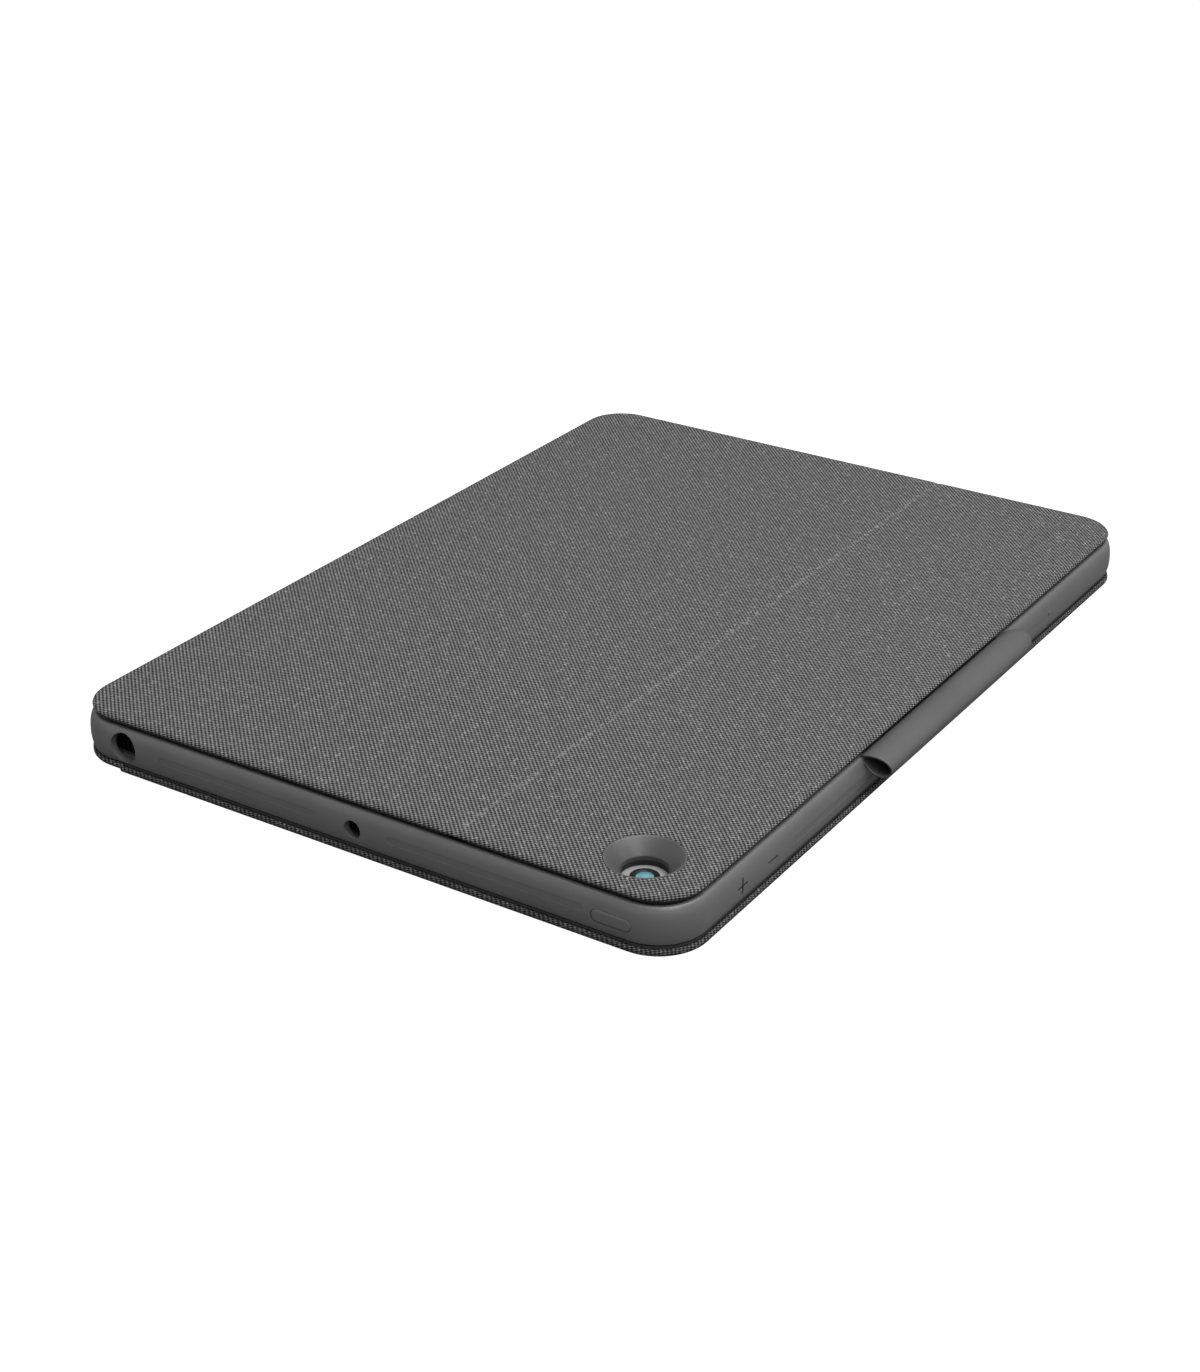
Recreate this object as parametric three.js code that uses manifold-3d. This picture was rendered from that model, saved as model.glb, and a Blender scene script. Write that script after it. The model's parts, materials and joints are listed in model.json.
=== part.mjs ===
// Keyboard case for a 10.5 inch tablet, closed, lying on its keyboard with its fabric back up.
// Millimetres, +Z up. The long side runs along X and the keyboard folds open at the +Y edge.
// Shapes are drawn about the middle of the case and the group is moved, so that the origin
// ends at the bottom centre of the whole object, pencil loop included.
import * as THREE from 'three';
import { mergeVertices } from 'three/addons/utils/BufferGeometryUtils.js';
import Module from 'manifold-3d';

const wasm = await Module();
wasm.setup();

// ---------------------------------------------------------------- driving dimensions
const tablet = { x: 250.6, y: 174.1, thick: 6.1, corner: 10 };
const frame = { x: 255.4, y: 182.2, corner: 13.4, bottom: 3.1, top: 13 };
const bay = { play: 0.3, wallFront: 2.6, lip: 2, lipTop: 4.4 };
const shell = { bottom: 11.4, top: 12.7, gap: 0.3, tongue: 0.3, groove: 0.6 };
const liner = { bottom: 10.8, top: 11.1 };
const panel = { inset: 1.1, core: 2, bottom: 13.3, coreTop: 14.6, skirt: 13.4, top: 15.5, cloth: 0.6 };
const crease = { y: -30.2, half: 3, axisZ: 13.8 };
const bezel = { x: -111.7, y: -72.5, r: 9.8, rim: 9.4, throat: 5.95, throatTop: 12.3, tube: 6.9 };
const loop = { x0: -39, x1: 43, cap: 5.6, halfY: 3.55, halfZ: 3.1, wall: 0.65, z: 11.1, off: 0.35 };
const cover = { x: 255.2, y: 182, corner: 13.3, rear: 74.5, top: 2.8, cloth: 0.6, floor: 0.4 };
const board = { bottom: 0.7, top: 1.2 };
const deck = { bottom: 1.9, flange: 2.6, top: 3.3, x: 244.8, front: -84.6, rear: 70.5 };
const keys = { bottom: 3, top: 4.3, gap: 2.4, web: 0.2, rowPitch: 16.4, units: 14.6, x: 239 };
const pad = { x: 86, y0: -81, y1: -35, bottom: 2.7, top: 3.4 };
const flap = { y0: 74.8, y1: 85.7, bottom: 1.1, top: 2.4, layer: 0.4 };
const strip = { y0: 86, y1: 91, bottom: 1.2, top: 2.8, ridgeY0: 87.3, ridgeY1: 89.5, ridgeTop: 9.2, x: 169.2 };
const leaf = { x: 88, width: 24, reach: 13, thick: 0.5, z: 13.55, knuckle: 0.85, bore: 0.5, pin: 0.44 };
const portZ = 7.4;
const fit = 0.3;
const cornerSteps = 6;
const roundSteps = 24;

const bayFront = -frame.y / 2 + bay.wallFront;
const bayRear = bayFront + tablet.y + 2 * bay.play;
const bayX = tablet.x / 2 + bay.play;
const bayY = (bayFront + bayRear) / 2;
const loopY = -frame.y / 2 - loop.off - loop.halfY;

// ---------------------------------------------------------------- materials
const colours = {
  fabric: [0x6c6c6d, 0.92, 0],
  elastomer: [0x56585a, 0.55, 0],
  plastic: [0x4c4e50, 0.5, 0],
  keycap: [0x2b2c2e, 0.6, 0],
  glassPad: [0x3a3c3e, 0.35, 0],
  microfibre: [0x3d3e40, 0.95, 0],
  steel: [0xb8babd, 0.35, 1],
  magnet: [0x9a9da1, 0.3, 1],
  rubber: [0x232426, 0.85, 0],
  circuit: [0x1f4d36, 0.6, 0],
  film: [0xb9a15e, 0.5, 0],
  gold: [0xc9a44c, 0.3, 1],
};
const materials = Object.fromEntries(
  Object.entries(colours).map(([name, [color, roughness, metalness]]) => [
    name,
    new THREE.MeshStandardMaterial({ name, color, roughness, metalness }),
  ]),
);

const group = new THREE.Group();
group.position.y = (loop.off + 2 * loop.halfY) / 2;

// ---------------------------------------------------------------- solids
function solid(geometry) {
  geometry.deleteAttribute('normal');
  geometry.deleteAttribute('uv');
  const merged = mergeVertices(geometry, 1e-4);
  const shape = new wasm.Mesh({
    numProp: 3,
    vertProperties: new Float32Array(merged.attributes.position.array),
    triVerts: new Uint32Array(merged.index.array),
  });
  return new wasm.Manifold(shape);
}

function addPart(name, shape, material) {
  const result = shape.getMesh();
  const geometry = new THREE.BufferGeometry();
  geometry.setAttribute('position', new THREE.BufferAttribute(result.vertProperties, 3));
  geometry.setIndex(new THREE.BufferAttribute(result.triVerts, 1));
  geometry.computeVertexNormals();
  const mesh = new THREE.Mesh(geometry, materials[material]);
  mesh.name = name;
  group.add(mesh);
}

function block(x0, x1, y0, y1, z0, z1) {
  const geometry = new THREE.BoxGeometry(x1 - x0, y1 - y0, z1 - z0);
  geometry.translate((x0 + x1) / 2, (y0 + y1) / 2, (z0 + z1) / 2);
  return solid(geometry);
}

// A rounded rectangle whose outline steps in by the profile's insets, from the lowest height up.
function roundedSlab(size, profile) {
  const radius = size.corner;
  const halfStep = Math.PI / (4 * cornerSteps);
  const reach = 1 / Math.cos(halfStep);
  const side = profile.map(([inset, z]) => new THREE.Vector2((radius - inset) * reach, z));
  const start = new THREE.Vector2(0, profile[0][1]);
  const end = new THREE.Vector2(0, profile[profile.length - 1][1]);
  const geometry = new THREE.LatheGeometry([start, ...side, end], 4 * cornerSteps);
  geometry.rotateY(halfStep);
  geometry.rotateX(Math.PI / 2);
  const place = geometry.attributes.position;
  for (let i = 0; i < place.count; i += 1) {
    const x = place.getX(i);
    const y = place.getY(i);
    if (Math.hypot(x, y) > 0.01) {
      const shiftX = Math.sign(x) * (size.x / 2 - radius);
      const shiftY = Math.sign(y) * (size.y / 2 - radius);
      place.setXY(i, x + shiftX, y + shiftY);
    }
  }
  geometry.translate(0, size.middle ?? 0, 0);
  return solid(geometry);
}

function plate(size, z0, z1, inset = 0) {
  return roundedSlab(size, [[inset, z0], [inset, z1]]);
}

function pillShape(length, height) {
  const r = height / 2;
  const straight = length / 2 - r;
  const shape = new THREE.Shape();
  shape.absarc(straight, 0, r, -Math.PI / 2, Math.PI / 2);
  shape.absarc(-straight, 0, r, Math.PI / 2, (3 * Math.PI) / 2);
  return shape;
}

// The shape's own x and y go to the two named axes and its depth to the third.
const axes = {
  alongY: [new THREE.Vector3(1, 0, 0), new THREE.Vector3(0, 0, -1), new THREE.Vector3(0, 1, 0)],
  alongX: [new THREE.Vector3(0, 1, 0), new THREE.Vector3(0, 0, 1), new THREE.Vector3(1, 0, 0)],
};

function extrude(shape, depth, axis, x, y, z) {
  const settings = { depth, bevelEnabled: false, curveSegments: roundSteps / 2, steps: 1 };
  const geometry = new THREE.ExtrudeGeometry(shape, settings);
  geometry.applyMatrix4(new THREE.Matrix4().makeBasis(...axes[axis]));
  geometry.translate(x, y, z);
  return solid(geometry);
}

function rod(radius, length, x, y, z, steps = roundSteps) {
  const geometry = new THREE.CylinderGeometry(radius, radius, length, steps);
  geometry.rotateZ(Math.PI / 2);
  geometry.translate(x, y, z);
  return solid(geometry);
}

function disc(radius, z0, z1, x, y, steps = roundSteps) {
  const geometry = new THREE.CylinderGeometry(radius, radius, z1 - z0, steps);
  geometry.rotateX(Math.PI / 2);
  geometry.translate(x, y, (z0 + z1) / 2);
  return solid(geometry);
}

// ---------------------------------------------------------------- outlines
const outer = { x: frame.x, y: frame.y, corner: frame.corner };
const bayOutline = { x: 2 * bayX, y: bayRear - bayFront, corner: tablet.corner, middle: bayY };
const widen = (size, by) => ({
  x: size.x + 2 * by,
  y: size.y + 2 * by,
  corner: size.corner + by,
  middle: size.middle,
});
const coverOutline = { x: cover.x, y: cover.y, corner: cover.corner };
const frontHalf = (y) => block(-200, 200, -200, y, -10, 40);
const rearHalf = (y) => block(-200, 200, y, 200, -10, 40);

// ---------------------------------------------------------------- case frame
// Soft moulded band round the tablet, with a lip over the edge of the screen.
function caseFrame() {
  const side = [
    [0.75, frame.bottom],
    [0.25, 4.2],
    [0, 6.6],
    [0, 8.6],
    [0.3, 10.8],
    [0.75, 12.2],
    [1.45, frame.top],
  ];
  let body = roundedSlab(outer, side);
  body = body.subtract(plate(bayOutline, bay.lipTop, frame.top + 1));
  body = body.subtract(plate(widen(bayOutline, -bay.lip), frame.bottom - 1, bay.lipTop + 1));
  body = body.subtract(plate(widen(bayOutline, shell.groove), shell.bottom, shell.top));
  const outside = -frame.x / 2 - 1;
  const left = (shape, depth, y, z) => extrude(shape, depth, 'alongX', outside, y, z);
  const right = (shape, y, z) => extrude(shape, 4, 'alongX', bayX - 1, y, z);
  // headphone and microphone holes, power button opening and two grip recesses on the -X side
  body = body.subtract(left(pillShape(8.3, 8.2), 4, 72.4, 7.7));
  body = body.subtract(left(pillShape(4.9, 4.8), 4, -0.6, 7.3));
  body = body.subtract(left(pillShape(50, 1.5), 1.25, 35.3, 8));
  body = body.subtract(left(pillShape(55, 1.5), 1.25, -38.5, 8));
  body = body.subtract(left(pillShape(power.length + 2 * fit, power.height + 2 * fit), 4, power.y, power.z));
  const wide = pillShape(power.length + power.flange + 2 * fit, power.height + power.flange + 2 * fit);
  body = body.subtract(extrude(wide, 2, 'alongX', power.step, power.y, power.z));
  // charging port and speaker slots on the +X side
  body = body.subtract(right(pillShape(15, 6.4), bayY, portZ));
  body = body.subtract(right(pillShape(26, 3), bayY - 45, portZ));
  body = body.subtract(right(pillShape(26, 3), bayY + 45, portZ));
  // one long grip recess behind the loop and the volume button openings on the -Y side
  body = body.subtract(extrude(pillShape(149, 1.5), 1.25, 'alongY', -1.5, -frame.y / 2 - 1, 7.2));
  for (const x of [volume.xUp, volume.xDown]) {
    const hole = pillShape(volume.length + 2 * fit, volume.height + 2 * fit);
    body = body.subtract(extrude(hole, 5, 'alongY', x, -frame.y / 2 - 1, volume.z));
    const room = pillShape(volume.length + volume.flange + 2 * fit, volume.height + volume.flange + 2 * fit);
    body = body.subtract(extrude(room, 2, 'alongY', x, volume.step, volume.z));
  }
  // seat of the loop's tab under the back panel
  body = body.subtract(block(loop.x0 + 2, loop.x1 - 2, -frame.y, bayFront - 0.1, 12.4, frame.top + 1));
  // slot for the keyboard's connector ridge, open downwards, with a window to the tablet's contacts
  const slotX = strip.x / 2 + fit;
  const slotTop = strip.ridgeTop + fit;
  body = body.subtract(block(-slotX, slotX, strip.ridgeY0 - fit, strip.ridgeY1 + fit, 0, slotTop));
  return body.subtract(block(-9, 9, bayRear - bay.lip - 1, strip.ridgeY0, 0, 8.6));
}

const power = { y: -73.5, z: 7.2, length: 10.8, height: 3.8, flange: 1.4, step: -126.6 };
const volume = { xUp: -99.2, xDown: -85.2, z: 7.3, length: 11.4, height: 6, flange: 1.2, step: -89.6 };

function powerButton() {
  const face = -frame.x / 2 + 0.05;
  const cap = extrude(pillShape(power.length, power.height), 1.6, 'alongX', face, power.y, power.z);
  const rim = pillShape(power.length + power.flange, power.height + power.flange);
  return cap.add(extrude(rim, 0.4, 'alongX', power.step + 0.2, power.y, power.z));
}

function volumeButton(x, sign) {
  const face = -frame.y / 2 + 0.05;
  const cap = extrude(pillShape(volume.length, volume.height), 2, 'alongY', x, face, volume.z);
  const rim = pillShape(volume.length + volume.flange, volume.height + volume.flange);
  const button = cap.add(extrude(rim, 0.5, 'alongY', x, volume.step + 0.2, volume.z));
  const stroke = 2.2;
  const line = 0.35;
  const floor = face + 0.3;
  let mark = block(x - stroke, x + stroke, face - 1, floor, volume.z - line, volume.z + line);
  if (sign === 'plus') {
    mark = mark.add(block(x - line, x + line, face - 1, floor, volume.z - stroke, volume.z + stroke));
  }
  return button.subtract(mark);
}

// Flattened elastic sleeve for a stylus, open at its -X end and closed at the other.
function sleeveShape(halfY, halfZ) {
  const points = [];
  for (let i = 0; i < roundSteps; i += 1) {
    const angle = (2 * Math.PI * i) / roundSteps;
    const c = Math.cos(angle);
    const s = Math.sin(angle);
    const reach = 1 / Math.cbrt(Math.abs(c) ** 3 + Math.abs(s) ** 3);
    points.push(new THREE.Vector2(halfY * reach * c, halfZ * reach * s));
  }
  return new THREE.Shape(points);
}

function pencilLoop() {
  const length = loop.x1 - loop.x0;
  const hollow = sleeveShape(loop.halfY - loop.wall, loop.halfZ - loop.wall);
  const end = new THREE.SphereGeometry(1, roundSteps, roundSteps / 2);
  end.rotateZ(Math.PI / 2);
  end.scale(loop.cap, loop.halfY - 0.02, loop.halfZ - 0.02);
  end.translate(loop.x1, loopY, loop.z);
  const sleeve = extrude(sleeveShape(loop.halfY, loop.halfZ), length, 'alongX', loop.x0, loopY, loop.z);
  const inside = extrude(hollow, length + 1, 'alongX', loop.x0 - 1, loopY, loop.z);
  const tab = block(loop.x0 + 2.4, loop.x1 - 2.4, loopY + 2.4, bayFront - 0.4, 12.7, 13.1);
  return sleeve.add(solid(end)).add(tab).subtract(inside);
}

// ---------------------------------------------------------------- back of the case
function backShell() {
  const within = widen(bayOutline, -shell.gap);
  let body = plate(within, shell.bottom, shell.top);
  const tongue = plate(widen(bayOutline, shell.tongue), shell.bottom + fit, shell.top - fit);
  body = body.add(tongue);
  body = body.subtract(disc(bezel.tube + fit, 0, 40, bezel.x, bezel.y));
  const { x, y0, y1, depth } = latch;
  return body.subtract(block(-x - fit, x + fit, y0 - fit, y1 + fit, shell.top - depth, shell.top + 1));
}

const latch = { x: 100, y0: 76, y1: 82, depth: 0.9 };

function innerLiner() {
  const sheet = plate(widen(bayOutline, -shell.gap), liner.bottom, liner.top);
  return sheet.subtract(disc(bezel.tube + fit, 0, 40, bezel.x, bezel.y));
}

// Stiff boards under the fabric. Their pockets take the hinge leaves and the magnets.
function panelCore() {
  const body = plate({ ...outer }, panel.bottom, panel.coreTop, panel.core);
  let cut = body;
  for (const x of [-leaf.x, leaf.x]) {
    const half = leaf.width / 2 + 0.4;
    const reach = leaf.reach + 0.4;
    const pocketTop = leaf.z + leaf.thick + fit;
    cut = cut.subtract(block(x - half, x + half, crease.y - reach, crease.y + reach, 0, pocketTop));
  }
  return cut;
}

function panelFabric() {
  const side = [
    [panel.inset + 0.5, panel.skirt],
    [panel.inset, panel.skirt + 0.6],
    [panel.inset, panel.top - 1],
    [panel.inset + 0.3, panel.top - 0.3],
    [panel.inset + 1, panel.top],
  ];
  const inside = [
    [panel.core - fit, panel.skirt - 1],
    [panel.core - fit, panel.top - panel.cloth],
  ];
  return roundedSlab(outer, side).subtract(roundedSlab(outer, inside));
}

function cameraBezel() {
  const profile = [
    [bezel.rim, panel.top],
    [bezel.throat, bezel.throatTop],
    [bezel.throat, liner.top],
    [bezel.tube, liner.top],
    [bezel.tube, panel.bottom + 0.1],
    [bezel.r, panel.bottom + 0.1],
    [bezel.r, panel.top - 0.1],
    [bezel.rim, panel.top],
  ];
  const points = profile.map(([r, z]) => new THREE.Vector2(r, z));
  const geometry = new THREE.LatheGeometry(points, 2 * roundSteps);
  geometry.rotateX(Math.PI / 2);
  geometry.translate(bezel.x, bezel.y, 0);
  return solid(geometry);
}

const magnet = { x: 80, y: 79, length: 20, width: 5, bottom: 13.2, top: 14.3 };

function magnetPocket(x) {
  const halfX = magnet.length / 2 + fit;
  const halfY = magnet.width / 2 + fit;
  return block(x - halfX, x + halfX, magnet.y - halfY, magnet.y + halfY, 0, magnet.top + 0.1);
}

function kickstandMagnet(x) {
  const halfX = magnet.length / 2;
  const halfY = magnet.width / 2;
  return block(x - halfX, x + halfX, magnet.y - halfY, magnet.y + halfY, magnet.bottom, magnet.top);
}

// ---------------------------------------------------------------- friction hinges
// Three knuckles on one pin: the outer two belong to the case, the middle one to the kickstand.
const knuckles = { outer: 6, middle: 11.4 };

function hingeLeaf(x, side) {
  const half = leaf.width / 2;
  const y0 = crease.y + side * 0.2;
  const y1 = crease.y + side * leaf.reach;
  const z1 = leaf.z + leaf.thick;
  let body;
  if (side < 0) {
    body = block(x - half, x + half, y1, crease.y - leaf.knuckle - 0.6, leaf.z, z1);
    for (const end of [-1, 1]) {
      const inner = x + end * (half - knuckles.outer);
      const edge = x + end * half;
      const middle = (inner + edge) / 2;
      const tongue = block(Math.min(inner, edge), Math.max(inner, edge), y1, y0, leaf.z, z1);
      body = body.add(tongue);
      body = body.add(rod(leaf.knuckle, knuckles.outer, middle, crease.y, crease.axisZ));
    }
  } else {
    body = block(x - half, x + half, crease.y + leaf.knuckle + 0.6, y1, leaf.z, z1);
    body = body.add(block(x - knuckles.middle / 2, x + knuckles.middle / 2, y0, y1, leaf.z, z1));
    body = body.add(rod(leaf.knuckle, knuckles.middle, x, crease.y, crease.axisZ));
  }
  body = body.subtract(rod(leaf.bore, 40, x, crease.y, crease.axisZ, 16));
  for (const place of screwPlaces(x, side)) {
    body = body.subtract(disc(screw.shank + 0.1, 0, 40, place[0], place[1], 12));
  }
  return body;
}

const screw = { head: 1.1, shank: 0.6, headDepth: 0.3, spread: 8, reach: 9.5, top: 14.45 };

function screwPlaces(x, side) {
  return [-1, 1].map((end) => [x + end * screw.spread, crease.y + side * screw.reach]);
}

function leafScrew([x, y]) {
  const headTop = leaf.z - 0.02;
  const head = disc(screw.head, headTop - screw.headDepth, headTop, x, y, 12);
  return head.add(disc(screw.shank, headTop - 0.1, screw.top, x, y, 12));
}

function screwHole([x, y]) {
  return disc(screw.shank + 0.1, 0, screw.top + 0.1, x, y, 12);
}

// ---------------------------------------------------------------- keyboard
function keyboardFabric() {
  const side = [
    [1.1, 0],
    [0.3, 0.4],
    [0, 1.1],
    [0, 1.9],
    [0.5, cover.top],
  ];
  const inside = [
    [cover.cloth + 0.5, cover.floor],
    [cover.cloth, 1.2],
    [cover.cloth, cover.top + 1],
  ];
  const tray = roundedSlab(coverOutline, side).subtract(roundedSlab(coverOutline, inside));
  const body = tray.intersect(frontHalf(cover.rear));
  const lip = plate(coverOutline, cover.floor / 2, cover.top, cover.cloth / 2);
  const rearWall = lip.intersect(frontHalf(cover.rear)).intersect(rearHalf(cover.rear - cover.cloth));
  return body.add(rearWall);
}

function insideCover(inset, z0, z1, y0, y1) {
  return plate(coverOutline, z0, z1, inset).intersect(frontHalf(y1)).intersect(rearHalf(y0));
}

const rows = [
  { name: 'lower_row_keys', row: 1, widths: [2.3, ...Array(10).fill(1), 2.3] },
  { name: 'home_row_keys', row: 2, widths: [1.8, ...Array(11).fill(1), 1.8] },
  { name: 'upper_row_keys', row: 3, widths: [1.6, ...Array(13).fill(1)] },
  { name: 'number_row_keys', row: 4, widths: [...Array(13).fill(1), 1.6] },
  { name: 'function_row_keys', row: 5, widths: Array(14).fill(keys.units / 14), height: 8.6 },
  { name: 'left_modifier_keys', row: 0, widths: [1, 1, 1, 1.3] },
  { name: 'space_bar', row: 0, start: 4.3, widths: [4.8] },
  { name: 'right_modifier_keys', row: 0, start: 9.1, widths: [1.3, 1.2, 1, 1, 1] },
];
const unit = keys.x / keys.units;
const firstRowY = -20;

function rowBox(row) {
  const height = row.height ?? keys.rowPitch - keys.gap;
  const lowest = firstRowY + row.row * keys.rowPitch - (keys.rowPitch - keys.gap) / 2;
  const x0 = -keys.x / 2 + (row.start ?? 0) * unit;
  const total = row.widths.reduce((sum, width) => sum + width, 0);
  return { x0, x1: x0 + total * unit, y0: lowest, y1: lowest + height };
}

// One keycap with a dished-in shoulder, drawn as a short pyramid frustum.
function keycap(x0, x1, y0, y1) {
  const geometry = new THREE.BoxGeometry(x1 - x0, y1 - y0, keys.top - keys.bottom);
  const place = geometry.attributes.position;
  for (let i = 0; i < place.count; i += 1) {
    if (place.getZ(i) > 0) {
      const x = place.getX(i);
      const y = place.getY(i);
      place.setXY(i, x - Math.sign(x) * 0.6, y - Math.sign(y) * 0.5);
    }
  }
  geometry.translate((x0 + x1) / 2, (y0 + y1) / 2, (keys.top + keys.bottom) / 2);
  return solid(geometry);
}

function keyRow(row) {
  const box = rowBox(row);
  let x = box.x0;
  let body = null;
  for (const width of row.widths) {
    const next = x + width * unit;
    const cap = keycap(x + keys.gap / 2, next - keys.gap / 2, box.y0, box.y1);
    body = body ? body.add(cap) : cap;
    x = next;
  }
  if (row.widths.length === 1) {
    return body;
  }
  const middle = (box.y0 + box.y1) / 2;
  const webStart = box.x0 + keys.gap / 2 + 1;
  const webEnd = box.x1 - keys.gap / 2 - 1;
  return body.add(block(webStart, webEnd, middle - 1, middle + 1, keys.bottom, keys.bottom + keys.web));
}

function keyboardDeck() {
  const island = { x: deck.x, y: deck.rear - deck.front, corner: 8, middle: (deck.rear + deck.front) / 2 };
  const flange = insideCover(cover.cloth + 0.4, deck.bottom, deck.flange, -200, cover.rear - cover.cloth - fit);
  let body = flange.add(plate(island, deck.bottom, deck.top));
  for (const row of rows) {
    const { x0, x1, y0, y1 } = rowBox(row);
    const edge = keys.gap / 2 - 0.6;
    body = body.subtract(block(x0 + edge, x1 - edge, y0 - 0.5, y1 + 0.5, 0, 10));
  }
  const half = pad.x / 2 + fit;
  body = body.subtract(block(-half, half, pad.y0 - fit, pad.y1 + fit, 0, 10));
  for (const x of [-bumper.x, bumper.x]) {
    body = body.subtract(bumperPad(x, fit, deck.top - bumper.sunk, 10));
  }
  return body;
}

const bumper = { x: 108, y: -60, width: 4, length: 30, sunk: 0.6, top: 4.4 };

function bumperPad(x, grow, z0, z1) {
  const halfX = bumper.width / 2 + grow;
  const halfY = bumper.length / 2 + grow;
  return block(x - halfX, x + halfX, bumper.y - halfY, bumper.y + halfY, z0, z1);
}

// ---------------------------------------------------------------- fold and connector
function flapLayer(z0) {
  return insideCover(0.4, z0, z0 + flap.layer, flap.y0, flap.y1);
}

function connectorStrip() {
  const foot = insideCover(0.3, strip.bottom, strip.top, strip.y0, strip.y1);
  const half = strip.x / 2;
  let body = foot.add(block(-half, half, strip.ridgeY0, strip.ridgeY1, strip.bottom + 0.5, strip.ridgeTop));
  for (const x of [-hold.x, hold.x]) {
    body = body.subtract(holdBlock(x, fit, 10));
  }
  return body.subtract(block(-7.3, 7.3, 80, 95, 5.2, 8.3));
}

const hold = { x: 50, length: 24, z0: 4.4, z1: 8 };

function holdBlock(x, grow, deep) {
  const half = hold.length / 2 + grow;
  const middle = (strip.ridgeY0 + strip.ridgeY1) / 2;
  return block(x - half, x + half, middle - deep / 2, middle + deep / 2, hold.z0 - grow, hold.z1 + grow);
}

function contactPins() {
  let body = block(-7, 7, strip.ridgeY0 + 0.1, strip.ridgeY1 - 0.1, 5.5, 8);
  for (const x of [-4, 0, 4]) {
    const geometry = new THREE.CylinderGeometry(0.7, 0.9, 1.1, 16);
    geometry.rotateX(-Math.PI / 2);
    geometry.translate(x, strip.ridgeY0 - 0.4, 6.75);
    body = body.add(solid(geometry));
  }
  return body;
}

// ---------------------------------------------------------------- assembly
const core = panelCore();
const cloth = panelFabric();
const bezelHole = disc(bezel.r + fit, 0, 40, bezel.x, bezel.y, 2 * roundSteps);
const caseSide = frontHalf(crease.y - crease.half);
const standSide = rearHalf(crease.y + crease.half);
let cameraCore = core.intersect(caseSide).subtract(bezelHole);
let standCore = core.intersect(standSide);
for (const x of [-magnet.x, magnet.x]) {
  standCore = standCore.subtract(magnetPocket(x));
}
for (const x of [-leaf.x, leaf.x]) {
  for (const place of screwPlaces(x, -1)) {
    cameraCore = cameraCore.subtract(screwHole(place));
  }
  for (const place of screwPlaces(x, 1)) {
    standCore = standCore.subtract(screwHole(place));
  }
}
const ribbonTop = flap.top - flap.layer;
const creaseHalf = crease.half - fit;

addPart('case_frame', caseFrame(), 'elastomer');
addPart('power_button', powerButton(), 'elastomer');
addPart('volume_up_button', volumeButton(volume.xUp, 'plus'), 'elastomer');
addPart('volume_down_button', volumeButton(volume.xDown, 'minus'), 'elastomer');
addPart('pencil_loop', pencilLoop(), 'elastomer');
addPart('back_shell', backShell(), 'plastic');
addPart('inner_liner', innerLiner(), 'microfibre');
addPart(
  'kickstand_latch_plate',
  block(-latch.x, latch.x, latch.y0, latch.y1, shell.top - latch.depth + 0.2, shell.top - 0.1),
  'steel',
);
addPart('camera_bezel', cameraBezel(), 'plastic');
addPart('camera_panel_core', cameraCore, 'plastic');
addPart('camera_panel_fabric', cloth.intersect(caseSide).subtract(bezelHole), 'fabric');
addPart(
  'crease_fabric',
  plate(outer, panel.top - panel.cloth, panel.top, panel.inset + 1)
    .intersect(rearHalf(crease.y - creaseHalf))
    .intersect(frontHalf(crease.y + creaseHalf)),
  'fabric',
);
addPart('kickstand_core', standCore, 'plastic');
addPart('kickstand_fabric', cloth.intersect(standSide), 'fabric');
for (const [name, x] of [['left', -1], ['right', 1]]) {
  addPart(`kickstand_magnet_${name}`, kickstandMagnet(x * magnet.x), 'magnet');
  addPart(`fixed_hinge_leaf_${name}`, hingeLeaf(x * leaf.x, -1), 'steel');
  addPart(`moving_hinge_leaf_${name}`, hingeLeaf(x * leaf.x, 1), 'steel');
  addPart(`hinge_pin_${name}`, rod(leaf.pin, leaf.width, x * leaf.x, crease.y, crease.axisZ, 16), 'steel');
  for (const [side, direction] of [['fixed', -1], ['moving', 1]]) {
    screwPlaces(x * leaf.x, direction).forEach((place, index) => {
      addPart(`${side}_leaf_screw_${name}_${index + 1}`, leafScrew(place), 'steel');
    });
  }
}
addPart('keyboard_cover_fabric', keyboardFabric(), 'fabric');
const boardInset = cover.cloth + 0.9;
addPart('base_plate', insideCover(boardInset, board.bottom, board.top, -200, 73), 'steel');
addPart('key_membrane', block(-120.5, 120.5, -28, 69, 1.4, 1.6), 'film');
addPart('controller_board', block(-112, -56, -80, -38, 1.4, 1.7), 'circuit');
addPart('trackpad_board', block(-40, 40, -79, -37, 1.4, 2.1), 'circuit');
addPart('keyboard_deck', keyboardDeck(), 'plastic');
addPart('trackpad', block(-pad.x / 2, pad.x / 2, pad.y0, pad.y1, pad.bottom, pad.top), 'glassPad');
for (const row of rows) {
  addPart(row.name, keyRow(row), 'keycap');
}
addPart('screen_bumper_left', bumperPad(-bumper.x, 0, deck.top - bumper.sunk + 0.1, bumper.top), 'rubber');
addPart('screen_bumper_right', bumperPad(bumper.x, 0, deck.top - bumper.sunk + 0.1, bumper.top), 'rubber');
addPart('hinge_fabric_outer', flapLayer(flap.bottom), 'fabric');
addPart('hinge_ribbon_cable', block(-8, 8, flap.y0, flap.y1, 1.65, 1.85), 'film');
addPart('hinge_fabric_inner', flapLayer(ribbonTop), 'fabric');
addPart('connector_strip', connectorStrip(), 'plastic');
addPart('connector_magnet_left', holdBlock(-hold.x, 0, 2), 'magnet');
addPart('connector_magnet_right', holdBlock(hold.x, 0, 2), 'magnet');
addPart('contact_pins', contactPins(), 'gold');

export default group;
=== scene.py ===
import json
import math

import bmesh
import bpy
from mathutils import Matrix, Vector


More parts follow.
